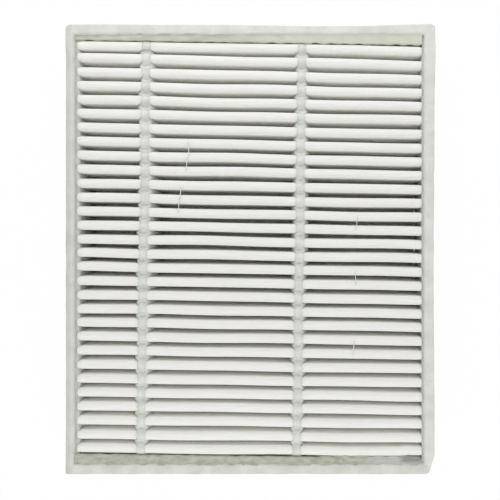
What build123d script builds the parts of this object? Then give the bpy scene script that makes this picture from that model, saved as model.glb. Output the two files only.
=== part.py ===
from build123d import *
from math import acos, atan2, cos, degrees, hypot, radians, sin, tan
import os

# Pleated filter panel with a soft felt edge, lying flat with its front face up
# +X runs along the pleats, +Y across them, and Z = 0 is the plane of the rear rim
# All sizes are in millimetres

# Pleated media: one thick sheet folded into equal pleats, whose last leg at each end is a flap
pleat_count = 30
pleat_pitch = 4.3
pleat_height = 14.0
media_thickness = 1.2
crease_radius = 0.35
media_width = 107.3
flap_drop = 0.4
skew_degrees = 0.8

# Glue beads that hold the pleats apart, in two lines on each face
left_bead_x = -33.6
right_bead_x = 15.2
bead_width = 3.2
bead_cover = 0.35
bead_sag = 0.6
bead_flats = 6

# Hot melt that seals the pack into the felt edge
left_seal_thickness = 1.35
right_seal_thickness = 0.6
thinnest_end_seal = 0.1
seal_drop = 1.2

# Felt edge: one strip bent round three sides, and a second strip across the lower end
left_leg_thickness = 2.5
right_leg_thickness = 3.25
upper_band_thickness = 3.1
lower_strip_thickness = 3.1
rim_height = 0.5
upper_left_radius = 1.6
upper_right_radius = 1.3
lower_right_radius = 1.8
lower_strip_setback = 1.2
leg_taper_length = 3.7
felt_edge = 0.35

# Heights, from the rear rim up
pack_bottom = rim_height
pack_top = pack_bottom + pleat_height
rim_top = pack_top + rim_height
flap_top = pack_top - flap_drop

# The pack sits a little askew in its edge, turned clockwise as seen from the front
skew = radians(skew_degrees)
fold_count = 2 * pleat_count
crest_radius = crease_radius + media_thickness
flap_reach = pleat_count * pleat_pitch / 2 + crest_radius

# Plan of the edge, worked out from the pack that it is wrapped round
inner_length = 2 * (flap_reach / cos(skew) + media_width / 2 * tan(skew) + thinnest_end_seal)
inner_width = left_seal_thickness + media_width + right_seal_thickness
panel_width = left_leg_thickness + inner_width + right_leg_thickness
panel_length = lower_strip_thickness + inner_length + upper_band_thickness
left_face = -panel_width / 2
right_face = panel_width / 2
upper_face = panel_length / 2
lower_face = -panel_length / 2
left_inner = left_face + left_leg_thickness
right_inner = right_face - right_leg_thickness
upper_inner = upper_face - upper_band_thickness
lower_inner = lower_face + lower_strip_thickness
media_left = left_inner + left_seal_thickness
media_right = right_inner - right_seal_thickness
pack_x = (media_left + media_right) / 2
pack_y = (upper_inner + lower_inner) / 2

# Section plane of the pack: x runs across the pleats, y is up, and the normal runs along the pleats
pack_plane = Plane(
    origin=(pack_x, pack_y, 0),
    x_dir=(sin(skew), cos(skew), 0),
    z_dir=(cos(skew), -sin(skew), 0),
)


# Folds are numbered along the pack: odd ones are crests of the front, even ones are crests of the rear
def is_crest(fold, face):
    return (fold % 2 == 1) == (face == "front")


def fold_centre(fold):
    along = (fold - pleat_count) * pleat_pitch / 2
    up = pack_top - crest_radius if is_crest(fold, "front") else pack_bottom + crest_radius
    return Vector(along, up)


def face_radius(fold, face):
    return crest_radius if is_crest(fold, face) else crease_radius


# Each wall is the crossed tangent of two folds, and leaves the first of them at this angle
def wall_angle(fold):
    step = fold_centre(fold + 1) - fold_centre(fold)
    heading = degrees(atan2(step.Y, step.X))
    lean = degrees(acos((crest_radius + crease_radius) / hypot(step.X, step.Y)))
    return heading + lean if is_crest(fold, "front") else heading - lean


# A fold turns from the wall before it to the wall after it, or to an upright flap at either end
def fold_turn(fold):
    start = 180 if fold == 0 else wall_angle(fold - 1) + 180
    end = 0 if fold == fold_count else wall_angle(fold)
    turn = (end - start) % 360
    return start, turn - 360 if is_crest(fold, "front") else turn


def point_on_fold(fold, angle, face):
    return fold_centre(fold) + Vector(face_radius(fold, face), 0).rotate(Axis.Z, angle)


# Corners of the flats that touch a fold from outside, as many as asked over the given turn
def flat_corners(fold, face, start, turn, flats):
    half_step = turn / flats / 2
    reach = Vector(face_radius(fold, face) / cos(radians(half_step)), 0)
    angles = [start + half_step * (2 * flat + 1) for flat in range(flats)]
    return [fold_centre(fold) + reach.rotate(Axis.Z, angle) for angle in angles]


# The inside of a fold is creased square, and its outside is round
def crease_corners(fold, face):
    return flat_corners(fold, face, *fold_turn(fold), 2)


def draw_sheet_face(face):
    ends = []
    for fold in range(fold_count + 1):
        start, turn = fold_turn(fold)
        if is_crest(fold, face):
            CenterArc(fold_centre(fold), crest_radius, start, turn)
            ends.append((point_on_fold(fold, start, face), point_on_fold(fold, start + turn, face)))
        else:
            corners = crease_corners(fold, face)
            Line(*corners)
            ends.append(corners)
    for (_, leaving), (arriving, _) in zip(ends, ends[1:]):
        Line(leaving, arriving)
    first, last = ends[0][0], ends[-1][1]
    Line((first.X, flap_top), first)
    Line(last, (last.X, flap_top))
    return first.X, last.X


# Section of the folded sheet
with BuildSketch() as sheet_section:
    with BuildLine():
        inner_flaps = draw_sheet_face("front")
        outer_flaps = draw_sheet_face("rear")
        for inner_x, outer_x in zip(inner_flaps, outer_flaps):
            Line((inner_x, flap_top), (outer_x, flap_top))
    make_face()

# Pleated media, with both cut edges parallel to the sides of the panel
with BuildPart() as pleated_media:
    with BuildSketch(pack_plane):
        add(sheet_section.sketch)
    extrude(amount=media_width, both=True)
    split(bisect_by=Plane.YZ.offset(media_left), keep=Keep.TOP)
    split(bisect_by=Plane.YZ.offset(media_right), keep=Keep.BOTTOM)
pleated_media.part.label = "pleated_media"


# Underside of a bead at one fold: it fills a groove down to its crease, and wraps a crest in a few flats
def bead_underside(fold, face):
    if is_crest(fold, face):
        return flat_corners(fold, face, *fold_turn(fold), bead_flats)
    return crease_corners(fold, face)


# Top of a bead: arcs that peak over the crests and dip over the grooves
def draw_bead_top(peak, dip, face):
    half_pitch = pleat_pitch / 2
    radius = (half_pitch**2 + bead_sag**2) / (2 * bead_sag)
    bulge = radius if peak > dip else -radius
    points = [
        (fold_centre(fold).X, peak if is_crest(fold, face) else dip) for fold in range(fold_count + 1)
    ]
    for start, end in zip(points, points[1:]):
        RadiusArc(start, end, bulge)


# Section of a front bead, which runs from flap to flap
first_x = fold_centre(0).X
last_x = fold_centre(fold_count).X
with BuildSketch() as front_bead_section:
    with BuildLine():
        front_peak = pack_top + bead_cover
        front_dip = front_peak - bead_sag
        underside = [(first_x, front_dip), (inner_flaps[0], flap_top)]
        for fold in range(fold_count + 1):
            underside += bead_underside(fold, "front")
        underside += [(inner_flaps[1], flap_top), (last_x, front_dip)]
        Polyline(*underside)
        draw_bead_top(front_peak, front_dip, "front")
    make_face()

# Section of a rear bead, which runs from the middle of the first rear crest to the middle of the last
with BuildSketch() as rear_bead_section:
    with BuildLine():
        rear_peak = pack_bottom - bead_cover
        rear_dip = rear_peak + bead_sag
        half_turn = wall_angle(0) + 90
        half_flats = bead_flats // 2
        underside = [(first_x, rear_peak), (first_x, pack_bottom)]
        underside += flat_corners(0, "rear", -90, half_turn, half_flats)
        for fold in range(1, fold_count):
            underside += bead_underside(fold, "rear")
        underside += flat_corners(fold_count, "rear", -90 - half_turn, half_turn, half_flats)
        underside += [(last_x, pack_bottom), (last_x, rear_peak)]
        Polyline(*underside)
        draw_bead_top(rear_peak, rear_dip, "rear")
    make_face()

# Glue beads on the front
with BuildPart() as left_front_bead:
    with BuildSketch(pack_plane.offset(left_bead_x - bead_width / 2)):
        add(front_bead_section.sketch)
    extrude(amount=bead_width)
left_front_bead.part.label = "left_front_bead"

with BuildPart() as right_front_bead:
    with BuildSketch(pack_plane.offset(right_bead_x - bead_width / 2)):
        add(front_bead_section.sketch)
    extrude(amount=bead_width)
right_front_bead.part.label = "right_front_bead"

# Glue beads on the rear
with BuildPart() as left_rear_bead:
    with BuildSketch(pack_plane.offset(left_bead_x - bead_width / 2)):
        add(rear_bead_section.sketch)
    extrude(amount=bead_width)
left_rear_bead.part.label = "left_rear_bead"

with BuildPart() as right_rear_bead:
    with BuildSketch(pack_plane.offset(right_bead_x - bead_width / 2)):
        add(rear_bead_section.sketch)
    extrude(amount=bead_width)
right_rear_bead.part.label = "right_rear_bead"

# Seals along the cut edges of the media
seal_bottom = pack_bottom + seal_drop
seal_height = pleat_height - 2 * seal_drop

with BuildPart() as left_edge_seal:
    with BuildSketch(Plane.XY.offset(seal_bottom)):
        with Locations(((left_inner + media_left) / 2, pack_y)):
            Rectangle(left_seal_thickness, inner_length)
    extrude(amount=seal_height)
left_edge_seal.part.label = "left_edge_seal"

with BuildPart() as right_edge_seal:
    with BuildSketch(Plane.XY.offset(seal_bottom)):
        with Locations(((right_inner + media_right) / 2, pack_y)):
            Rectangle(right_seal_thickness, inner_length)
    extrude(amount=seal_height)
right_edge_seal.part.label = "right_edge_seal"


# Outer face of the upper flap at a given x, or of the lower flap where the reach is negative
def flap_y(x, reach):
    return pack_y + (reach - (x - pack_x) * sin(skew)) / cos(skew)


# Seals behind the two flaps, wedge-shaped because the pack is askew
with BuildPart() as upper_edge_seal:
    with BuildSketch(Plane.XY.offset(seal_bottom)):
        with BuildLine():
            Polyline(
                (media_left, flap_y(media_left, flap_reach)),
                (media_right, flap_y(media_right, flap_reach)),
                (media_right, upper_inner),
                (media_left, upper_inner),
                close=True,
            )
        make_face()
    extrude(amount=seal_height)
upper_edge_seal.part.label = "upper_edge_seal"

with BuildPart() as lower_edge_seal:
    with BuildSketch(Plane.XY.offset(seal_bottom)):
        with BuildLine():
            Polyline(
                (media_left, flap_y(media_left, -flap_reach)),
                (media_right, flap_y(media_right, -flap_reach)),
                (media_right, lower_inner),
                (media_left, lower_inner),
                close=True,
            )
        make_face()
    extrude(amount=seal_height)
lower_edge_seal.part.label = "lower_edge_seal"

# Felt strip bent round the left side, the upper end and the right side, with its last end cut to a taper
with BuildPart() as wrapped_edge_strip:
    with BuildSketch():
        with BuildLine():
            Polyline(
                (left_face, lower_inner),
                (left_face, upper_face),
                (right_face, upper_face),
                (right_face, lower_inner + leg_taper_length),
                (right_face - lower_strip_setback, lower_inner),
                (right_inner, lower_inner),
                (right_inner, upper_inner),
                (left_inner, upper_inner),
                (left_inner, lower_inner),
                close=True,
            )
        make_face()
        upper_corners = vertices().group_by(Axis.Y)[-1].sort_by(Axis.X)
        fillet(upper_corners[0], upper_left_radius)
        fillet(upper_corners[-1], upper_right_radius)
    extrude(amount=rim_top)
    chamfer(faces().filter_by(Axis.Z).edges(), felt_edge)
wrapped_edge_strip.part.label = "wrapped_edge_strip"

# Felt strip across the lower end, cut short at the right and worn round there
with BuildPart() as lower_edge_strip:
    with BuildSketch():
        with BuildLine():
            Polyline(
                (left_face, lower_face),
                (right_face - lower_strip_setback, lower_face),
                (right_face - lower_strip_setback, lower_inner),
                (left_face, lower_inner),
                close=True,
            )
        make_face()
        fillet(vertices().group_by(Axis.Y)[0].sort_by(Axis.X)[-1], lower_right_radius)
    extrude(amount=rim_top)
    chamfer(faces().filter_by(Axis.Z).edges(), felt_edge)
lower_edge_strip.part.label = "lower_edge_strip"

os.makedirs("parts", exist_ok=True)
export_step(pleated_media.part, "parts/pleated_media.step")
export_step(left_front_bead.part, "parts/left_front_bead.step")
export_step(right_front_bead.part, "parts/right_front_bead.step")
export_step(left_rear_bead.part, "parts/left_rear_bead.step")
export_step(right_rear_bead.part, "parts/right_rear_bead.step")
export_step(left_edge_seal.part, "parts/left_edge_seal.step")
export_step(right_edge_seal.part, "parts/right_edge_seal.step")
export_step(upper_edge_seal.part, "parts/upper_edge_seal.step")
export_step(lower_edge_seal.part, "parts/lower_edge_seal.step")
export_step(wrapped_edge_strip.part, "parts/wrapped_edge_strip.step")
export_step(lower_edge_strip.part, "parts/lower_edge_strip.step")
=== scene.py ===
import math
import bpy
import numpy as np
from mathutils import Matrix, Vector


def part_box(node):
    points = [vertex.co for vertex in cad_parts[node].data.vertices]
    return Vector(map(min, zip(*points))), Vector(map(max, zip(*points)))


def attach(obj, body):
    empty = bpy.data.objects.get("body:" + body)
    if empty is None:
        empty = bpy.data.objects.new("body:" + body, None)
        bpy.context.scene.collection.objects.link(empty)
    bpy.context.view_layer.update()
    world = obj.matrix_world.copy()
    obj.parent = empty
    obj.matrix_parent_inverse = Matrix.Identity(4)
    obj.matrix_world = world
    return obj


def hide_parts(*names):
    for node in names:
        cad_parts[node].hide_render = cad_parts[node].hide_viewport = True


# Pleated filter panel lying flat with its front face up, seen from straight above
# Sizes below are in millimetres in the frame's axes, and meshObject turns them to metres
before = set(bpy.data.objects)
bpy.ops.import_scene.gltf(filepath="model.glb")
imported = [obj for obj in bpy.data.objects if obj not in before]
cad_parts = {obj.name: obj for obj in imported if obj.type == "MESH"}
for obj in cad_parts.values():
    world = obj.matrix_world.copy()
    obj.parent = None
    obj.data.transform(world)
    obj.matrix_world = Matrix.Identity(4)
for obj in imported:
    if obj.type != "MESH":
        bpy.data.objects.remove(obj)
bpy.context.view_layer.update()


def nodeBox(name):
    return [np.array(corner) * 1000 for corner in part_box(name)]


# Edges of the panel and of the pleated pack, read from the frame
stripLow, stripHigh = nodeBox("wrapped_edge_strip")
lowerLow, lowerHigh = nodeBox("lower_edge_strip")
mediaLow, mediaHigh = nodeBox("pleated_media")
leftSealLow, leftSealHigh = nodeBox("left_edge_seal")
rightSealHigh = nodeBox("right_edge_seal")[1]
leftFace, upperFace, rimTop = stripLow[0], stripHigh[1], stripHigh[2]
rightFace, lowerFace = stripHigh[0], lowerLow[1]
leftInner, rightInner = leftSealLow[0], rightSealHigh[0]
upperInner, lowerInner = leftSealHigh[1], leftSealLow[1]
mediaLeft, mediaRight = mediaLow[0], mediaHigh[0]

pack = {
    "pleats": 30,
    "pitch": 4.317,
    "thickness": 1.2,
    "creaseRadius": 0.35,
    "worn": 0.12,           # the crests are this much slimmer than the sheet laid tight round them
    "flapDrop": 0.4,
    "skew": math.radians(0.8),
    # In its edge the pack has shifted by so many millimetres, and has spread, turned and fanned out a little,
    # each by a share of the distance from its middle
    "shift": 0.2,
    "spread": 0.0103,
    "turn": -0.0041,
    "fan": -0.00009,
    "furthest": 64.65,      # no crest reaches beyond this from the middle, where the flaps stand
    "slotFrom": 46.0,       # the first crest stands back here, so that a slot is open beside the corner
    "slotRamp": 3.0,        # length over which it opens
    "slotWidth": 0.3,
    "slotDepth": 1.6,       # how far the flap has sunk there
    "foldJitter": 0.08,     # how far a crest strays from an even pitch
    "wave": 0.1,            # how far a crest wanders along its length
    "waveLength": 38,
    "waveApart": 2.5,       # crests wander as if they lay this many times as far apart
    "waveSeed": 11,
    "heightWave": 0.07,     # how far it rises and falls, over this share of that length
    "heightWaveShare": 0.7,
    "heightSeed": 12,
    "leftPinch": 0.2,       # how far a crest sinks where its left end is set in glue, and over what length
    "leftPinchLength": 1.5,
    "rightPinch": 0.2,
    "rightPinchLength": 0.9,
    "narrowing": 0.25,      # share of that by which its radius shrinks
    "station": 0.85,        # spacing of points along a crest, with so many more at its very ends
    "endPoints": 8,
    "frontPoints": (9, 4),  # on the outside and on the inside of each fold
    "rearPoints": (6, 3),
    "leftOver": 0.45,       # how far the left ends lie bare on the glue
    "seed": 7,
}
crestRadius = pack["creaseRadius"] + pack["thickness"]
packBottom, packTop = mediaLow[2], mediaHigh[2]
lastFold = 2 * pack["pleats"]


def softNoise(points, size, seed):
    # Random plane waves added up, about 1 high and about as wide as size in millimetres
    waves, reach = 14, 3.7   # so many waves add up to about this height
    draw = np.random.default_rng(seed)
    points = np.asarray(points, float)
    total = np.zeros(points.shape[:-1])
    for _ in range(waves):
        way = draw.normal(size=points.shape[-1])
        way *= 2 * np.pi / (size * draw.uniform(0.7, 1.6)) / np.linalg.norm(way)
        total += np.sin(points @ way + draw.uniform(0, 2 * np.pi))
    return total / reach


def smoothStep(value, low, high):
    share = np.clip((value - low) / (high - low), 0, 1)
    return share * share * (3 - 2 * share)


def gridFaces(rows, columns, first=0, closed=False):
    # Quads between neighbours of a grid of points, going round if its columns close
    start = first + np.arange(rows - 1)[:, None] * columns
    here = np.arange(columns if closed else columns - 1)[None, :]
    after = (here + 1) % columns
    quads = np.stack([start + here, start + after, start + columns + after, start + columns + here], -1)
    return quads.reshape(-1, 4).tolist()


def meshObject(name, points, faces, material, replaced=()):
    mesh = bpy.data.meshes.new(name)
    mesh.from_pydata((np.asarray(points, float) / 1000).tolist(), [], faces)
    mesh.polygons.foreach_set("use_smooth", [True] * len(mesh.polygons))
    mesh.materials.append(material)
    piece = bpy.data.objects.new(name, mesh)
    bpy.context.scene.collection.objects.link(piece)
    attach(piece, "root")
    if replaced:
        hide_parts(*replaced)
    return piece


# Materials
def linearColour(hexColour):
    parts = [int(hexColour[i:i + 2], 16) / 255 for i in (1, 3, 5)]
    return [p / 12.92 if p <= 0.04045 else ((p + 0.055) / 1.055) ** 2.4 for p in parts] + [1]


def newMaterial(name):
    material = bpy.data.materials.new(name)
    material.use_nodes = True
    material.node_tree.nodes.clear()
    return material


def addNode(material, kind, settings=None, links=None):
    # Settings and links go by the name or the number of an input, and other settings to the node itself
    node = material.node_tree.nodes.new(kind)
    for key, value in (settings or {}).items():
        if isinstance(key, int) or key in node.inputs:
            node.inputs[key].default_value = value
        else:
            setattr(node, key, value)
    for key, source in (links or {}).items():
        material.node_tree.links.new(source, node.inputs[key])
    return node


def grain(*sizes):
    # Scale of a texture whose features have these lengths in millimetres
    return [1000 / size for size in sizes]


def cloudy(material, place, scale, detail):
    # Noise with features of the lengths that its scale was worked out from
    scaled = addNode(material, "ShaderNodeMapping", {"Scale": scale}, {"Vector": place})
    settings = {"Scale": 1.0, "Detail": detail}
    return addNode(material, "ShaderNodeTexNoise", settings, {"Vector": scaled.outputs[0]}).outputs["Fac"]


def shadeBetween(material, amount, low, high, dark, light):
    # Goes from the dark colour to the light one while amount goes from low to high
    tone = addNode(material, "ShaderNodeMapRange", {"From Min": low, "From Max": high}, {"Value": amount})
    colours = {"Color1": linearColour(dark), "Color2": linearColour(light)}
    return addNode(material, "ShaderNodeMixRGB", colours, {"Fac": tone.outputs[0]}).outputs[0]


def finishSurface(material, colour, height, strength, depth, settings):
    # Surface of this colour with bumps up to depth in millimetres, and the shader's own settings
    rise = {"Strength": strength, "Distance": depth / 1000}
    bump = addNode(material, "ShaderNodeBump", rise, {"Height": height}).outputs[0]
    shader = addNode(material, "ShaderNodeBsdfPrincipled", settings, {"Base Color": colour, "Normal": bump})
    addNode(material, "ShaderNodeOutputMaterial", links={"Surface": shader.outputs[0]})
    return material


# Folded filter media: nonwoven polypropylene, calendered flat and scored, so it is matt white with long
# faint streaks
mediaFinish = {
    "light": "#efefe9",
    "dark": "#e7e7e1",
    "streak": grain(9, 0.35, 0.35),    # calendering marks run along the pleats
    "fibre": grain(0.5, 0.22, 0.22),   # real fibres of 0.02 mm are drawn coarser to show at all
    "bump": 0.05,
    "roughness": 0.85,
    "depth": 0.0014,                   # light soaks this far into the sheet, in metres
}


def calenderedNonwoven():
    material = newMaterial("calenderedNonwoven")
    place = addNode(material, "ShaderNodeTexCoord").outputs["Object"]
    streaks = cloudy(material, place, mediaFinish["streak"], 3.0)
    fibres = cloudy(material, place, mediaFinish["fibre"], 3.0)
    colour = shadeBetween(material, streaks, 0.3, 0.7, mediaFinish["dark"], mediaFinish["light"])
    height = addNode(material, "ShaderNodeMath", {"operation": "ADD"}, {0: streaks, 1: fibres}).outputs[0]
    return finishSurface(material, colour, height, 0.5, mediaFinish["bump"], {
        "Roughness": mediaFinish["roughness"],
        "Specular IOR Level": 0.25,
        "IOR": 1.49,
        "Subsurface Weight": 0.6,
        "Subsurface Radius": (1.0, 1.0, 0.9),
        "Subsurface Scale": mediaFinish["depth"],
    })


# Glue beads: milky EVA hot melt laid warm, so it is smooth, a little waxy and lets light into its thin parts
beadFinish = {
    "light": "#e0e2db",
    "dark": "#d3d5cd",
    "cloud": grain(2.2, 2.2, 2.2),   # milky patches about as wide as the bead
    "bump": 0.06,
    "roughness": 0.42,
    "depth": 0.0006,
}
# Side seals: the same hot melt pressed into the felt, matt and greyed by the fibres it has taken up, and
# darkened a little further as painted shade for the crease it fills between felt and pleats
sideSealFinish = {
    "light": "#cccdc6",
    "dark": "#bbbcb4",
    "cloud": grain(0.9, 3, 0.9),     # drawn out along the seal
    "bump": 0.1,
    "roughness": 0.7,
    "depth": 0.0006,
}
# End seals: a thicker, yellowed smear of it, mottled where it was wiped over the flaps
upperSealFinish = {
    "light": "#c5c7ba",
    "dark": "#afb1a2",
    "cloud": grain(6, 1.6, 0.8),   # wiped along the flap
    "bump": 0.08,
    "roughness": 0.6,
    "depth": 0.0006,
    "pale": "#cfd0c4",             # it thins towards the right, between these places in metres
    "paleFrom": -0.02,
    "paleTo": 0.015,
}
lowerSealFinish = {
    "light": "#b9bbad",
    "dark": "#a1a395",
    "cloud": grain(2.4, 1.2, 0.8),   # left in short dabs
    "bump": 0.1,
    "roughness": 0.6,
    "depth": 0.0006,
    "pale": "#bdbeb6",             # near the right corner fibres of the felt are wiped into it
    "paleFrom": 0.034,
    "paleTo": 0.039,
}


def hotMelt(name, finish):
    material = newMaterial(name)
    place = addNode(material, "ShaderNodeTexCoord").outputs["Object"]
    clouds = cloudy(material, place, finish["cloud"], 3.0)
    colour = shadeBetween(material, clouds, 0.35, 0.65, finish["dark"], finish["light"])
    if "pale" in finish:
        across = addNode(material, "ShaderNodeSeparateXYZ", links={"Vector": place}).outputs["X"]
        ramp = {"From Min": finish["paleFrom"], "From Max": finish["paleTo"], "To Max": 0.8}
        thinned = addNode(material, "ShaderNodeMapRange", ramp, {"Value": across}).outputs[0]
        pale = {"Color2": linearColour(finish["pale"])}
        colour = addNode(material, "ShaderNodeMixRGB", pale, {"Fac": thinned, "Color1": colour}).outputs[0]
    return finishSurface(material, colour, clouds, 0.6, finish["bump"], {
        "Roughness": finish["roughness"],
        "IOR": 1.48,
        "Subsurface Weight": 0.35,
        "Subsurface Radius": (1.0, 0.95, 0.8),
        "Subsurface Scale": finish["depth"],
    })


# Edge strips: needled polyester felt slit with a blade, so it is soft and dull, with a faint mottle and a
# short nap
feltFinish = {
    "light": "#dcddd9",
    "dark": "#d1d2cc",
    "lowerLight": "#d7d8d2",
    "lowerDark": "#cacbc4",
    "shade": "#eeeeea",            # painted shade that darkens the left leg towards its outer edge
    "mottle": grain(5, 5, 5),      # thicker and thinner places of the carded web
    "nap": grain(0.7, 0.7, 0.7),   # real fibres of 0.02 mm are drawn coarser to show at all
    "napShare": 0.3,               # of the colour's change
    "bump": 0.1,
    "roughness": 0.95,
}


def needledFelt(name, light, dark):
    material = newMaterial(name)
    place = addNode(material, "ShaderNodeTexCoord").outputs["Object"]
    mottle = cloudy(material, place, feltFinish["mottle"], 4.0)
    nap = cloudy(material, place, feltFinish["nap"], 4.0)
    weighted = {"operation": "MULTIPLY_ADD", 1: feltFinish["napShare"]}
    both = addNode(material, "ShaderNodeMath", weighted, {0: nap, 2: mottle}).outputs[0]
    colour = shadeBetween(material, both, 0.5, 0.8, dark, light)
    # Painted shade: the colour is darkened towards the left leg's outer edge
    across = addNode(material, "ShaderNodeSeparateXYZ", links={"Vector": place}).outputs["X"]
    outside, inside = (leftFace + 1) / 1000, leftInner / 1000
    shade = shadeBetween(material, across, outside, inside, feltFinish["shade"], "#ffffff")
    multiply = {"blend_type": "MULTIPLY", "Fac": 1.0}
    shaded = addNode(material, "ShaderNodeMixRGB", multiply, {"Color1": colour, "Color2": shade}).outputs[0]
    return finishSurface(material, shaded, nap, 0.6, feltFinish["bump"], {
        "Roughness": feltFinish["roughness"],
        "Specular IOR Level": 0.2,
        "Sheen Weight": 0.15,
        "Sheen Roughness": 0.6,
    })


mediaMaterial = calenderedNonwoven()
beadMaterial = hotMelt("hotMeltBead", beadFinish)
sideSealMaterial = hotMelt("hotMeltInFelt", sideSealFinish)
upperSealMaterial = hotMelt("hotMeltUpperSmear", upperSealFinish)
lowerSealMaterial = hotMelt("hotMeltLowerSmear", lowerSealFinish)
wrappedFelt = needledFelt("needledFelt", feltFinish["light"], feltFinish["dark"])
lowerFelt = needledFelt("needledFeltGreyer", feltFinish["lowerLight"], feltFinish["lowerDark"])
print("materials made")


# Pleated media
# Folds are numbered along the pack: odd ones are crests of the front, even ones are crests of the rear
foldNumbers = np.arange(lastFold + 1)
isFrontCrest = foldNumbers % 2 == 1


def foldCentres(x):
    # Centre of each fold, u across the pack and z up, where x holds a row of stations for each fold
    draw = np.random.default_rng(pack["seed"])
    jitter = draw.uniform(-1, 1, lastFold + 1) * pack["foldJitter"]
    jitter[[0, lastFold]] = 0
    even = (foldNumbers - pack["pleats"]) * pack["pitch"] / 2
    along = even + jitter
    across = np.stack([x, np.broadcast_to(along[:, None] * pack["waveApart"], x.shape)], -1)
    centreU = along[:, None] + pack["wave"] * softNoise(across, pack["waveLength"], pack["waveSeed"])
    moved = pack["shift"] + pack["spread"] * even[:, None] + (pack["turn"] + pack["fan"] * even[:, None]) * x
    firstCrest = 1
    moved[firstCrest] += pack["slotWidth"] * slotShare(x[firstCrest])
    isFlap = np.isin(foldNumbers, (0, lastFold))[:, None]
    limit = pack["furthest"] - crestRadius + pack["worn"]
    centreU = np.where(isFlap, centreU, np.clip(centreU + moved, -limit, limit))
    heightLength = pack["waveLength"] * pack["heightWaveShare"]
    lift = pack["heightWave"] * softNoise(across, heightLength, pack["heightSeed"]) - pack["heightWave"]
    pinch = endPinch(x)
    centre = crestRadius - pack["worn"]
    centreZ = np.where(isFrontCrest[:, None], packTop - centre + lift - pinch, packBottom + centre + pinch)
    return centreU, centreZ


def slotShare(x):
    return smoothStep(x, pack["slotFrom"], pack["slotFrom"] + pack["slotRamp"])


def endPinch(x):
    leftEnd = mediaLeft - pack["leftOver"]
    left = pack["leftPinch"] * (1 - smoothStep(x - leftEnd, 0, pack["leftPinchLength"]))
    right = pack["rightPinch"] * (1 - smoothStep(mediaRight - x, 0, pack["rightPinchLength"]))
    return left + right


def sheetPath(face, x, foldPoints):
    # Points of one face of the sheet, from the top of the first flap to the top of the last, at every station
    centreU, centreZ = foldCentres(x)
    outer = crestRadius - pack["worn"] - pack["narrowing"] * endPinch(x)
    inner = np.full_like(outer, pack["creaseRadius"])
    stepU, stepZ = np.diff(centreU, axis=0), np.diff(centreZ, axis=0)
    heading = np.arctan2(stepZ, stepU)
    lean = np.arccos((outer[1:] + inner[1:]) / np.hypot(stepU, stepZ))
    wall = np.where(isFrontCrest[:-1, None], heading + lean, heading - lean)
    rows = []
    flapTop = packTop - pack["flapDrop"]
    sunk = pack["slotDepth"] * slotShare(x[0])
    for fold in foldNumbers:
        start = np.full(x.shape[1], np.pi) if fold == 0 else wall[fold - 1] + np.pi
        end = np.zeros(x.shape[1]) if fold == lastFold else wall[fold]
        turn = np.mod(end - start, 2 * np.pi) - (2 * np.pi if isFrontCrest[fold] else 0)
        isOuter = isFrontCrest[fold] == (face == "front")
        radius = (outer if isOuter else inner)[fold]
        for share in np.linspace(0, 1, foldPoints[0 if isOuter else 1]):
            angle = start + share * turn
            u = centreU[fold] + radius * np.cos(angle)
            z = centreZ[fold] + radius * np.sin(angle)
            rows.append((x[fold], u, z))
    first, last = rows[0], rows[-1]
    rows.insert(0, (x[0], first[1], flapTop - sunk))
    rows.append((x[-1], last[1], np.full(x.shape[1], flapTop)))
    return np.array(rows).transpose(0, 2, 1)


def packToPanel(points):
    # The pack is turned a little, and its cut edges stay parallel to the panel's sides
    placed = points.copy()
    placed[..., 1] = points[..., 1] / math.cos(pack["skew"]) - points[..., 0] * math.tan(pack["skew"])
    return placed


def makeMedia():
    fine = pack["leftPinchLength"]
    ends = np.linspace(0, fine, pack["endPoints"])[:-1]
    leftEnd = mediaLeft - pack["leftOver"]
    length = mediaRight - leftEnd
    middle = np.linspace(fine, length - fine, int(length / pack["station"]))
    stations = leftEnd + np.concatenate([ends, middle, length - ends[::-1]])
    x = np.tile(stations, (lastFold + 1, 1))
    front = sheetPath("front", x, pack["frontPoints"])
    rear = sheetPath("rear", x, pack["rearPoints"])
    ring = packToPanel(np.concatenate([front, rear[::-1]]))
    rows, columns = ring.shape[:2]
    points = ring.transpose(1, 0, 2).reshape(-1, 3)
    faces = gridFaces(columns, rows, closed=True)
    for station, flip in ((0, False), (columns - 1, True)):
        faces += stripBetween(station * rows, len(front), len(rear), flip)
    return meshObject("filterMedia", points, faces, mediaMaterial, ["pleated_media"])


def stripBetween(base, frontRows, rearRows, flip):
    # Triangles that close a cut end between the front and the rear face, stepping along both together
    made = []
    i, j = 0, 0
    frontSteps = foldSteps(pack["frontPoints"], "front")
    rearSteps = foldSteps(pack["rearPoints"], "rear")
    while i < frontRows - 1 or j < rearRows - 1:
        onFront = i < frontRows - 1 and (j == rearRows - 1 or frontSteps[i + 1] <= rearSteps[j + 1])
        a, b = base + i, base + frontRows + rearRows - 1 - j
        if onFront:
            face = [a, base + i + 1, b]
            i += 1
        else:
            face = [a, base + frontRows + rearRows - 2 - j, b]
            j += 1
        made.append(face if flip else face[::-1])
    return made


def foldSteps(foldPoints, face):
    # How far along the sheet each point of a face lies, counted in folds, where a bend takes half a fold
    bend = 0.5
    steps = [-1.0]
    for fold in foldNumbers:
        isOuter = isFrontCrest[fold] == (face == "front")
        count = foldPoints[0 if isOuter else 1]
        steps += [fold + (share - 0.5) * bend for share in np.linspace(0, 1, count)]
    return steps + [lastFold + 1.0]


makeMedia()
print("filter media folded")


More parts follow.
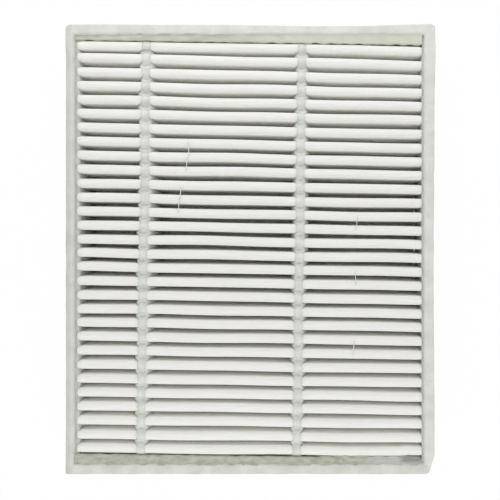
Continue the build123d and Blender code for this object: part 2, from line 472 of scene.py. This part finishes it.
# Glue beads across the crests, with a web of glue in each groove
beads = {
    "left": -33.45,                 # places of the two lines
    "right": 15.35,
    "crestHalf": 1.25,              # half its width on a crest
    "leftGrooveHalf": (3.7, 2.8),   # and in a groove, to the left and to the right of its middle
    "rightGrooveHalf": (2.85, 2.9),
    "webFrom": 0.45,                # shares of the way into a groove between which it widens
    "webTo": 0.95,
    "edgeDrop": 4.5,                # how deep the web falls at its edges, between these shares of its width
    "edgeFrom": 0.5,
    "edgeTo": 1.15,
    "cover": 0.28,                  # thickness over a crest
    "sag": 1.7,                     # how far the web lies below that in the middle of a groove
    "sagPower": 1.5,
    "shoulder": 0.22,               # how far a bead's sides fall below its middle
    "bedded": 0.03,                 # how far it is pressed into the sheet
    "across": 21,
    "foldPoints": (13, 5),
    "wander": 0.12,                 # how far its line strays from a straight one
    "wanderLength": 30,
    "wanderSeed": 21,
    "uneven": 0.04,                 # of its width, and of its height in millimetres
    "grooveUneven": 0.06,
    "unevenLength": 6,
    "unevenSeed": 22,
}


def makeBead(name, node, beadX, face):
    sign = 1 if face == "front" else -1
    share = np.linspace(-1, 1, beads["across"])
    along = (foldNumbers - pack["pleats"]) * pack["pitch"] / 2
    middle = beadX * math.cos(pack["skew"]) + along * math.sin(pack["skew"])
    beadLine = np.stack([along, np.full_like(along, beadX * sign)], -1)
    middle = middle + beads["wander"] * softNoise(beadLine, beads["wanderLength"], beads["wanderSeed"])
    x = middle[:, None] + share[None, :] * beads["crestHalf"]
    path = sheetPath(face, x, beads["foldPoints"])
    u = path[..., 1]
    # How far each point lies from the nearest crest, 0 on its top and 1 in the middle of a groove
    crests = foldNumbers[isFrontCrest == (face == "front")]
    crestU = foldCentres(x)[0][crests]
    groove = np.clip(np.abs(u[:, None, :] - crestU[None, :, :]).min(1) / (pack["pitch"] / 2), 0, 1)
    spread = smoothStep(groove, beads["webFrom"], beads["webTo"])
    nearby = np.stack([u, np.full_like(u, beadX * sign)], -1)
    uneven = softNoise(nearby, beads["unevenLength"], beads["unevenSeed"])
    leftHalf, rightHalf = beads["leftGrooveHalf" if beadX < 0 else "rightGrooveHalf"]
    grooveHalf = np.where(share < 0, leftHalf, rightHalf)[None, :] * (1 + beads["grooveUneven"] * uneven)
    half = beads["crestHalf"] + (grooveHalf - beads["crestHalf"]) * spread
    centre = np.interp(u[:, 0], along, middle)[:, None]
    wide = centre + share[None, :] * half * (1 + beads["uneven"] * uneven)
    peak = (packTop if face == "front" else packBottom) + sign * beads["cover"]
    side = np.abs(share[None, :])
    edge = smoothStep(side, beads["edgeFrom"], beads["edgeTo"]) * beads["edgeDrop"] * spread
    dip = beads["sag"] * ((1 - np.cos(np.pi * groove)) / 2) ** beads["sagPower"]
    shoulder = beads["shoulder"] * side ** 3 * (1 + spread)
    top = peak - sign * (dip + shoulder + edge + beads["uneven"] * (1 + uneven))
    under = path[..., 2] - sign * beads["bedded"]
    top = np.maximum(top, under) if face == "front" else np.minimum(top, under)
    upper = packToPanel(np.stack([wide, u, top], -1))
    lower = packToPanel(np.stack([wide, u, under], -1))
    rows, columns = u.shape
    points = np.concatenate([upper, lower[:, ::-1]], 1).reshape(-1, 3)
    faces = gridFaces(rows, 2 * columns, closed=True)
    faces += [list(range(2 * columns)), list(range((rows - 1) * 2 * columns, rows * 2 * columns))[::-1]]
    if face == "rear":
        faces = [f[::-1] for f in faces]
    return meshObject(name, points, faces, beadMaterial, [node])


for side in ("left", "right"):
    for face in ("front", "rear"):
        makeBead(side + face.capitalize() + "Bead", f"{side}_{face}_bead", beads[side], face)

# Threads that the glue gun drew out between crests, in the places where the photograph shows them
strands = {
    "places": ((-19.3, 30.6), (-19.9, 26.6), (-21.8, 17.9), (-22.4, 13.5),
               (32.9, -9.2), (32.3, -30.3), (33.3, 8.2)),
    "radius": 0.18,
    "thinned": (0.7, 0.3),   # share of it in a thread's middle, and what comes on top towards its ends
    "sides": 8,
    "steps": 9,
    "below": 0.1,            # how far its ends lie below the crests
    "sag": 0.35,
    "lean": 0.3,
    "seed": 61,
}


def makeStrands():
    draw = np.random.default_rng(strands["seed"])
    points, faces = [], []
    share = np.linspace(-1, 1, strands["steps"])
    thin, thicker = strands["thinned"]
    ring = strands["radius"] * (thin + thicker * share ** 2)[:, None]
    around = np.linspace(0, 2 * np.pi, strands["sides"], endpoint=False)
    for x, y in strands["places"]:
        u = (y + x * math.tan(pack["skew"])) * math.cos(pack["skew"])
        grooveU = foldCentres(np.full((lastFold + 1, 1), x))[0][~isFrontCrest, 0]
        middle = grooveU[np.abs(grooveU - u).argmin()]
        lineX = x + strands["lean"] * draw.uniform(-1, 1) * share
        lineU = middle + share * pack["pitch"] / 2
        lineZ = packTop - strands["below"] - strands["sag"] * (1 - share ** 2)
        tube = np.stack([lineX[:, None] + ring * np.cos(around), np.tile(lineU[:, None], strands["sides"]),
                         lineZ[:, None] + ring * np.sin(around)], -1)
        first = len(points) * tube.shape[0] * tube.shape[1]
        faces += gridFaces(strands["steps"], strands["sides"], first, closed=True)
        faces.append(list(range(first, first + strands["sides"]))[::-1])
        last = first + (strands["steps"] - 1) * strands["sides"]
        faces.append(list(range(last, last + strands["sides"])))
        points.append(packToPanel(tube))
    return meshObject("glueStrands", np.concatenate(points).reshape(-1, 3), faces, beadMaterial)


makeStrands()
print("glue beads laid")


# Seals at the cut edges of the media: the glue dips between felt and pleats, and runs a little way into
# each groove
sideSeal = {
    "leftCreep": 0.4,       # how far the glue runs into a groove, and how deep it falls there
    "leftDrop": 6.0,
    "rightCreep": -0.25,
    "rightDrop": 9.0,
    "dropFrom": -0.2,       # it falls between these distances from the cut edge, the second past the creep
    "dropTo": 0.3,
    "creepWidth": 0.6,      # half the width of a run
    "creepUneven": 0.25,
    "unevenLength": 6,
    "unevenSeed": 31,
    "across": 13,
    "perPitch": 24,         # rows of points to one pleat
    "overlap": 0.12,        # how far the ends of the pleats sit in it
    "overFelt": 0.35,       # how far the glue laps over the felt's rounded edge
    "feltHeight": 14.68,    # of the glue there, in its valley on either side and where it meets the pleats
    "leftValley": 13.3,
    "rightValley": 13.75,
    "mediaHeight": 13.5,
    "valley": 0.4,          # share of its width at which the valley lies
    "lump": 0.08,
    "lumpSize": 4,
    "topSeed": 32,
    "bottomSeed": 33,
}
sealBottom = leftSealLow[2]


def makeSideSeal(side, outer, cutEdge):
    creepLength, valleyHeight = sideSeal[side + "Creep"], sideSeal[side + "Valley"]
    length = upperInner - lowerInner
    rows = int(length / pack["pitch"] * sideSeal["perPitch"])
    y = np.linspace(lowerInner, upperInner, rows)
    into = np.sign(cutEdge - outer)
    x = np.full((lastFold + 1, 1), cutEdge)
    grooveU = foldCentres(x)[0][~isFrontCrest, 0]
    grooveY = grooveU / math.cos(pack["skew"]) - cutEdge * math.tan(pack["skew"])
    nearest = np.abs(y[:, None] - grooveY[None, :]).min(1)
    creep = np.exp(-(nearest / sideSeal["creepWidth"]) ** 4)
    edge = np.stack([y, np.full_like(y, cutEdge)], -1)
    uneven = softNoise(edge, sideSeal["unevenLength"], sideSeal["unevenSeed"])
    ragged = 1 + sideSeal["creepUneven"] * uneven
    reach = cutEdge + into * (sideSeal["overlap"] + creepLength * creep * ragged)
    share = np.linspace(0, 1, sideSeal["across"])
    start = outer - into * sideSeal["overFelt"]
    gridX = start + share[None, :] * (reach - start)[:, None]
    place = np.stack([gridX, np.broadcast_to(y[:, None], gridX.shape)], -1)
    width = into * (gridX - start) / (into * (cutEdge - start))
    rise = np.clip(1 - width / sideSeal["valley"], 0, 1) ** 2
    top = valleyHeight + (sideSeal["feltHeight"] - valleyHeight) * rise
    top = top + (sideSeal["mediaHeight"] - valleyHeight) * np.clip(width, 0, 1)
    top = top + sideSeal["lump"] * softNoise(place, sideSeal["lumpSize"], sideSeal["topSeed"]) * (1 - rise)
    past = smoothStep(into * (gridX - cutEdge), sideSeal["dropFrom"], creepLength + sideSeal["dropTo"])
    top = top - sideSeal[side + "Drop"] * creep[:, None] * past
    lumps = softNoise(place, sideSeal["lumpSize"], sideSeal["bottomSeed"])
    bottom = sealBottom + sideSeal["lump"] * lumps
    upper = np.stack([place[..., 0], place[..., 1], top], -1)
    lower = np.stack([place[..., 0], place[..., 1], bottom], -1)
    return closedSlab(side, upper, lower, into > 0, sideSealMaterial)


def closedSlab(side, upper, lower, flip, material):
    # The seal on one side as a slab between two grids of points, with its rim closed
    rows, columns = upper.shape[:2]
    points = np.concatenate([upper, lower[:, ::-1]], 1).reshape(-1, 3)
    faces = gridFaces(rows, 2 * columns, closed=True)
    first, last = 0, (rows - 1) * 2 * columns
    for base, turned in ((first, False), (last, True)):
        for i in range(columns - 1):
            quad = [base + i, base + i + 1, base + 2 * columns - 2 - i, base + 2 * columns - 1 - i]
            faces.append(quad[::-1] if turned else quad)
    if flip:
        faces = [f[::-1] for f in faces]
    return meshObject(side + "EdgeSeal", points, faces, material, [side + "_edge_seal"])


makeSideSeal("left", leftInner, mediaLeft)
makeSideSeal("right", rightInner, mediaRight)

# Seals behind the two flaps: the glue was smeared over the flaps along most of their length
endSeal = {
    "station": 0.45,
    "across": 15,
    "overFlap": 1.5,        # how far the smear reaches across a flap and hangs over its inner edge
    "hang": 1.5,
    "rounding": 0.4,        # how far it falls at that edge, and over what width
    "smearHeight": 0.15,    # above the flap, on average and at the least
    "thinnest": 0.04,
    "thinEdge": 6,          # beside the felt it may be thinner, over one part in so many of its width
    "clearOfFace": 0.12,    # it has that height from this far inside the flap's outer face
    "underFlap": 0.1,       # how far its underside is pressed into the flap
    "overFelt": 0.35,       # how far it laps over the felt's rounded edge
    "feltHeight": 14.68,    # of the glue there
    "lapSteepness": 2.5,    # it falls from the felt over one part in so many of its width
    "reachUneven": 0.08,
    "reachLength": 5,
    "reachSeed": 43,
    "lump": 0.1,
    "lumpSize": 3.5,
    "lumpSeed": 41,
    # Near the lower right corner the glue was squeezed out over the last groove in small lumps
    "squeezeFrom": 20,
    "squeezeRamp": 8,
    "squeezeTo": 49,
    "squeezeReach": 0.6,
    "squeezeLump": 0.15,
    "squeezeLumpSize": 1.5,
    "squeezeSeed": 45,
}
flapReach = pack["pleats"] * pack["pitch"] / 2 + crestRadius


def squeezed(x):
    # Share of the squeezing out at each place along the lower end
    begins = smoothStep(x, endSeal["squeezeFrom"], endSeal["squeezeFrom"] + endSeal["squeezeRamp"])
    return begins * (1 - smoothStep(x, endSeal["squeezeTo"] - 1, endSeal["squeezeTo"] + 1))


def makeEndSeal(end, material):
    side = 1 if end == "upper" else -1
    x = np.linspace(leftInner, mediaRight, int((mediaRight - leftInner) / endSeal["station"]))
    edge = (upperInner if side > 0 else lowerInner) + side * endSeal["overFelt"]
    flapFace = side * flapReach / math.cos(pack["skew"]) - x * math.tan(pack["skew"])
    squeeze = squeezed(x) * (side < 0)
    uneven = softNoise(x[:, None], endSeal["reachLength"], endSeal["reachSeed"] + side)
    overFlap = endSeal["overFlap"] * (1 + endSeal["reachUneven"] * uneven)
    reach = flapFace - side * (overFlap + endSeal["squeezeReach"] * squeeze)
    share = np.linspace(0, 1, endSeal["across"])
    gridY = edge + share[None, :] * (reach - edge)[:, None]
    place = np.stack([np.broadcast_to(x[:, None], gridY.shape), gridY], -1)
    flapTop = packTop - pack["flapDrop"]
    onFlap = side * (flapFace[:, None] - gridY)
    away = np.clip(1 - share[None, :] * endSeal["lapSteepness"], 0, 1)
    smeared = flapTop + endSeal["smearHeight"]
    top = smeared + (endSeal["feltHeight"] - smeared) * away ** 2
    top = top + endSeal["lump"] * softNoise(place, endSeal["lumpSize"], endSeal["lumpSeed"] + side)
    lumps = softNoise(place, endSeal["squeezeLumpSize"], endSeal["squeezeSeed"])
    top = top + endSeal["squeezeLump"] * lumps * squeeze[:, None] * share
    thick = np.minimum(1, share[None, :] * endSeal["thinEdge"])
    least = np.maximum(top, flapTop + endSeal["thinnest"] * thick)
    top = np.where(onFlap > endSeal["clearOfFace"], least, top)
    inside = onFlap - pack["thickness"]
    top = top - smoothStep(inside, 0, endSeal["rounding"]) * endSeal["rounding"]
    bottom = np.where(onFlap > 0, flapTop - endSeal["underFlap"], sealBottom)
    bottom = bottom - endSeal["hang"] * (inside > 0)
    if side < 0:
        sunk = pack["slotDepth"] * slotShare(x)[:, None] * smoothStep(share[None, :], 0.2, 0.5)
        top, bottom = top - sunk, np.where(onFlap > 0, bottom - sunk, bottom)
    upper = np.stack([place[..., 0], place[..., 1], top], -1)
    lower = np.stack([place[..., 0], place[..., 1], bottom], -1)
    return closedSlab(end, upper, lower, side > 0, material)


makeEndSeal("upper", upperSealMaterial)
makeEndSeal("lower", lowerSealMaterial)
print("seals filled")


# Felt edge strips
felt = {
    "edgeRadius": 0.45,
    "innerRadius": 1.0,     # of the upper inner edge, which the glue has drawn down
    "upperLeftRadius": 1.6,
    "upperRightRadius": 1.3,
    "lowerRightRadius": 1.8,
    "innerCornerRadius": 0.4,
    "taperLength": 3.7,
    "station": 0.8,
    "faceSteps": 6,
    "sideSteps": 18,
    "turnSteps": 6,         # round an edge, an outer and an inner corner, and the lower strip's right end
    "outerCornerSteps": 10,
    "innerCornerSteps": 5,
    "lowerEndSteps": 6,
    "leastSteps": 14,       # along any part of the strip
    "endSteps": 5,
    "endRings": (0.7, 0.35, 0.05),   # a cut end closes over rings of these shares of its size
    "lump": 0.035,
    "lumpSize": 7,
    "lumpSeed": 51,
    "nap": 0.025,
    "napSize": 1.1,
    "napSeed": 52,
    # Where the outer face stands out or in: place along the side, how far, and over what length
    "upperBows": ((-46, 0.16, 14), (25, -0.42, 24), (54, 0.35, 10)),
    "rightBows": ((61, 0.35, 9), (-6, -0.3, 30)),
    "leftSlope": 0.2,       # the left leg's top falls outward by this much, beyond these lengths at its ends
    "slopeEnds": (6, 8),
    "overlap": 0.8,         # how far the legs press into the lower strip
}


def feltSection():
    # Share of the strip's thickness and distance from its inner face, with the height, once round the section
    outerR, innerR = felt["edgeRadius"], felt["innerRadius"]
    turn = np.linspace(0, np.pi / 2, felt["turnSteps"])[:-1]
    across = np.linspace(0, 1, felt["faceSteps"])[:-1]
    points = [(0, 0, z) for z in np.linspace(outerR, rimTop - innerR, felt["sideSteps"])[:-1]]
    points += [(0, innerR * (1 - math.cos(a)), rimTop - innerR * (1 - math.sin(a))) for a in turn]
    points += [(f, innerR * (1 - f) - outerR * f, rimTop) for f in across]
    points += [(1, -outerR * (1 - math.sin(a)), rimTop - outerR * (1 - math.cos(a))) for a in turn]
    points += [(1, 0, z) for z in np.linspace(rimTop - outerR, outerR, felt["sideSteps"])[:-1]]
    points += [(1, -outerR * (1 - math.cos(a)), outerR * (1 - math.sin(a))) for a in turn]
    points += [(1 - f, outerR * (2 * f - 1), 0) for f in across]
    points += [(0, outerR * (1 - math.sin(a)), outerR * (1 - math.cos(a))) for a in turn]
    return np.array(points)


def line(start, end):
    start, end = np.array(start, float), np.array(end, float)
    steps = max(2, int(np.linalg.norm(end - start) / felt["station"]) + 1)
    return start + np.linspace(0, 1, steps)[:, None] * (end - start)


def arc(centre, radius, start, end, steps):
    angles = np.radians(np.linspace(start, end, steps))
    return np.array(centre) + radius * np.stack([np.cos(angles), np.sin(angles)], -1)


def bowed(place, bows):
    return sum(amount * np.exp(-((place - at) / length) ** 2) for at, amount, length in bows)


def evenly(points, count):
    # The same line with count points spaced evenly along it
    lengths = np.concatenate([[0], np.cumsum(np.linalg.norm(np.diff(points, axis=0), axis=1))])
    at = np.linspace(0, lengths[-1], count)
    return np.stack([np.interp(at, lengths, points[:, i]) for i in range(2)], -1)


def sweepFelt(name, node, inner, outer, material):
    section = feltSection()
    thickness = np.linalg.norm(outer - inner, axis=1)
    way = (outer - inner) / thickness[:, None]
    distance = section[None, :, 0] * thickness[:, None] + section[None, :, 1]
    plan = inner[:, None, :] + way[:, None, :] * distance[..., None]
    height = np.broadcast_to(section[None, :, 2:], plan.shape[:2] + (1,))
    points = np.concatenate([plan, height], -1)
    firstEnd, lastEnd = roundEnd(points[0], points[1]), roundEnd(points[-1], points[-2])
    points = np.concatenate([firstEnd[::-1], points[1:-1], lastEnd])
    rows, columns = points.shape[:2]
    faces = gridFaces(rows, columns, closed=True)
    faces += [list(range(columns))[::-1], list(range((rows - 1) * columns, rows * columns))]
    piece = meshObject(name, points.reshape(-1, 3), faces, material, [node])
    roughen(piece, felt["lump"], felt["lumpSize"], felt["lumpSeed"])
    roughen(piece, felt["nap"], felt["napSize"], felt["napSeed"])
    return piece


def roundEnd(ring, before):
    # Rings that round off an end over the edge radius, and then close on its middle
    middle = ring.mean(0)
    outward = (middle - before.mean(0)) / np.linalg.norm(middle - before.mean(0))
    radius = felt["edgeRadius"]
    fromMiddle = ring - middle
    inward = -fromMiddle / np.linalg.norm(fromMiddle, axis=1)[:, None]
    rings = [ring + inward * radius * (1 - math.cos(a)) - outward * radius * (1 - math.sin(a))
             for a in np.linspace(0, np.pi / 2, felt["endSteps"])]
    return np.array(rings + [middle + (rings[-1] - middle) * share for share in felt["endRings"]])


def readPoints(piece):
    place = np.empty(len(piece.data.vertices) * 3)
    piece.data.vertices.foreach_get("co", place)
    return place.reshape(-1, 3) * 1000


def writePoints(piece, place):
    piece.data.vertices.foreach_set("co", (place / 1000).ravel())
    piece.data.update()


def roughen(piece, amount, size, seed):
    # Moves each point along its normal by soft noise
    place = readPoints(piece)
    normals = np.empty(place.size)
    piece.data.vertex_normals.foreach_get("vector", normals)
    writePoints(piece, place + normals.reshape(-1, 3) * amount * softNoise(place, size, seed)[:, None])


def makeWrappedStrip():
    small = felt["innerCornerRadius"]
    leftRadius, rightRadius = felt["upperLeftRadius"], felt["upperRightRadius"]
    outerSteps, innerSteps = felt["outerCornerSteps"], felt["innerCornerSteps"]
    legs = []
    low = lowerInner - felt["overlap"]
    setback = rightFace - lowerHigh[0]
    # Left leg, upper left corner, upper band, upper right corner, right leg with its tapered end
    legs.append((line((leftInner, low), (leftInner, upperInner - small)),
                 line((leftFace, low), (leftFace, upperInner - small))))
    centre = (leftFace + leftRadius, upperFace - leftRadius)
    outer = np.concatenate([line((leftFace, upperInner - small), (leftFace, centre[1])),
                            arc(centre, leftRadius, 180, 90, outerSteps),
                            line((centre[0], upperFace), (leftInner + small, upperFace))])
    legs.append((arc((leftInner + small, upperInner - small), small, 180, 90, innerSteps), outer))
    legs.append((line((leftInner + small, upperInner), (rightInner - small, upperInner)),
                 line((leftInner + small, upperFace), (rightInner - small, upperFace))))
    centre = (rightFace - rightRadius, upperFace - rightRadius)
    outer = np.concatenate([line((rightInner - small, upperFace), (centre[0], upperFace)),
                            arc(centre, rightRadius, 90, 0, outerSteps),
                            line((rightFace, centre[1]), (rightFace, upperInner - small))])
    legs.append((arc((rightInner - small, upperInner - small), small, 90, 0, innerSteps), outer))
    taper = low + felt["taperLength"]
    legs.append((line((rightInner, upperInner - small), (rightInner, taper)),
                 line((rightFace, upperInner - small), (rightFace, taper))))
    legs.append((line((rightInner, taper), (rightInner, low)),
                 line((rightFace, taper), (rightFace - setback, low))))
    inners, outers = [], []
    for inner, outer in legs:
        count = max(len(inner), len(outer), felt["leastSteps"])
        inners.append(evenly(inner, count)[1 if inners else 0:])
        outers.append(evenly(outer, count)[1 if outers else 0:])
    inner, outer = np.concatenate(inners), np.concatenate(outers)
    onTop = smoothStep(outer[:, 1], upperInner, upperFace)
    onRight = smoothStep(outer[:, 0], rightInner, rightFace - setback)
    outer = outer + np.stack([bowed(outer[:, 1], felt["rightBows"]) * onRight,
                              bowed(outer[:, 0], felt["upperBows"]) * onTop], -1)
    piece = sweepFelt("wrappedEdgeStrip", "wrapped_edge_strip", inner, outer, wrappedFelt)
    tiltLeftLeg(piece)
    return piece


def tiltLeftLeg(piece):
    place = readPoints(piece)
    outward = 1 - smoothStep(place[:, 0], leftFace, leftInner)
    upward = smoothStep(place[:, 2], rimTop / 2, rimTop)
    lowerEnd, upperEnd = felt["slopeEnds"]
    along = smoothStep(place[:, 1], lowerInner, lowerInner + lowerEnd)
    along = along * (1 - smoothStep(place[:, 1], upperInner - upperEnd, upperInner))
    place[:, 2] -= felt["leftSlope"] * outward * upward * along
    writePoints(piece, place)


def makeLowerStrip():
    radius = felt["lowerRightRadius"]
    right = lowerHigh[0]
    centre = (right - radius, lowerFace + radius)
    outer = np.concatenate([line((leftFace, lowerFace), (centre[0], lowerFace)),
                            arc(centre, radius, 270, 330, felt["lowerEndSteps"])])
    inner = evenly(line((right, lowerInner), (leftFace, lowerInner)), len(outer))
    outer = evenly(outer[::-1], len(outer))
    return sweepFelt("lowerEdgeStrip", "lower_edge_strip", inner, outer, lowerFelt)


makeWrappedStrip()
makeLowerStrip()
print("felt edge laid")


# Stage: white floor that keeps the panel's shadow, even light from all round and two long lamps
stage = {
    "cameraHeight": 165,        # from the rim of the panel
    "cameraX": 18.0,
    "cameraY": 6.0,
    "pixel": 0.311,             # millimetres of the panel's front to one pixel of the photograph
    "imageWidth": 500,
    "centrePixel": (250.0, 249.5),   # where the panel's middle lies in it
    "skyLight": 0.68,
    "upperWatts": 0.145,        # two long lamps beyond the upper and lower ends, aimed at the panel
    "lowerWatts": 0.115,
    "lampY": 150,
    "lampZ": 120,
    "lampLength": 320,
    "lampWidth": 60,
    "floorSize": 3000,
    "floorDrop": 0.1,           # below the rear rim
    "floorColour": "#f4f4f4",
    "floorGlow": 0.97,          # share of plain white in what the camera sees, and the rest keeps the shadow
}


def seenDirectly(owner):
    # 1 for rays from the camera, and for those that metal or glass would send on
    rays = addNode(owner, "ShaderNodeLightPath").outputs
    mirrored = addNode(owner, "ShaderNodeMath", {"operation": "MAXIMUM"},
                       {0: rays["Is Glossy Ray"], 1: rays["Is Transmission Ray"]})
    return addNode(owner, "ShaderNodeMath", {"operation": "MAXIMUM"},
                   {0: rays["Is Camera Ray"], 1: mirrored.outputs[0]}).outputs[0]


def makeFloor():
    mesh = bpy.data.meshes.new("floor")
    half = stage["floorSize"] / 2000
    corners = [(-half, -half, 0), (half, -half, 0), (half, half, 0), (-half, half, 0)]
    mesh.from_pydata(corners, [], [(0, 1, 2, 3)])
    floor = bpy.data.objects.new("floor", mesh)
    bpy.context.scene.collection.objects.link(floor)
    floor.location.z = -stage["floorDrop"] / 1000
    material = newMaterial("whiteFloor")
    matt = {"Base Color": linearColour(stage["floorColour"]), "Roughness": 0.9}
    shader = addNode(material, "ShaderNodeBsdfPrincipled", matt).outputs[0]
    glow = addNode(material, "ShaderNodeEmission", {"Strength": 1.0, "Color": (1, 1, 1, 1)}).outputs[0]
    part = {"operation": "MULTIPLY", 1: stage["floorGlow"]}
    share = addNode(material, "ShaderNodeMath", part, {0: seenDirectly(material)}).outputs[0]
    mixed = addNode(material, "ShaderNodeMixShader", links={0: share, 1: shader, 2: glow}).outputs[0]
    addNode(material, "ShaderNodeOutputMaterial", links={"Surface": mixed})
    mesh.materials.append(material)
    return floor


def makeLight():
    world = bpy.data.worlds.new("evenLight")
    bpy.context.scene.world = world
    world.use_nodes = True
    world.node_tree.nodes.clear()
    even = {"Color": (1, 1, 1, 1), "Strength": stage["skyLight"]}
    light = addNode(world, "ShaderNodeBackground", even).outputs[0]
    white = addNode(world, "ShaderNodeBackground", {"Color": (1, 1, 1, 1), "Strength": 1.0}).outputs[0]
    direct = seenDirectly(world)
    mixed = addNode(world, "ShaderNodeMixShader", links={0: direct, 1: light, 2: white}).outputs[0]
    addNode(world, "ShaderNodeOutputWorld", links={"Surface": mixed})
    for name, side, watts in (("upperLamp", 1, stage["upperWatts"]), ("lowerLamp", -1, stage["lowerWatts"])):
        data = bpy.data.lights.new(name, "AREA")
        data.shape = "RECTANGLE"
        data.size, data.size_y = stage["lampLength"] / 1000, stage["lampWidth"] / 1000
        data.energy = watts
        lamp = bpy.data.objects.new(name, data)
        lamp.location = (0, side * stage["lampY"] / 1000, stage["lampZ"] / 1000)
        lamp.rotation_euler.x = -side * math.atan2(stage["lampY"], stage["lampZ"] - rimTop)
        lamp.visible_camera = False
        bpy.context.scene.collection.objects.link(lamp)


def makeCamera():
    data = bpy.data.cameras.new("camera")
    camera = bpy.data.objects.new("camera", data)
    bpy.context.scene.collection.objects.link(camera)
    frameWidth = stage["pixel"] * stage["imageWidth"]
    height = rimTop + stage["cameraHeight"]
    camera.location = (stage["cameraX"] / 1000, stage["cameraY"] / 1000, height / 1000)
    data.lens = data.sensor_width * stage["cameraHeight"] / frameWidth
    middle = stage["imageWidth"] / 2
    data.shift_x = ((middle - stage["centrePixel"][0]) * stage["pixel"] - stage["cameraX"]) / frameWidth
    data.shift_y = ((stage["centrePixel"][1] - middle) * stage["pixel"] - stage["cameraY"]) / frameWidth
    bpy.context.scene.camera = camera


makeFloor()
makeLight()
makeCamera()
bpy.context.scene.view_settings.view_transform = "Standard"
print("stage set")
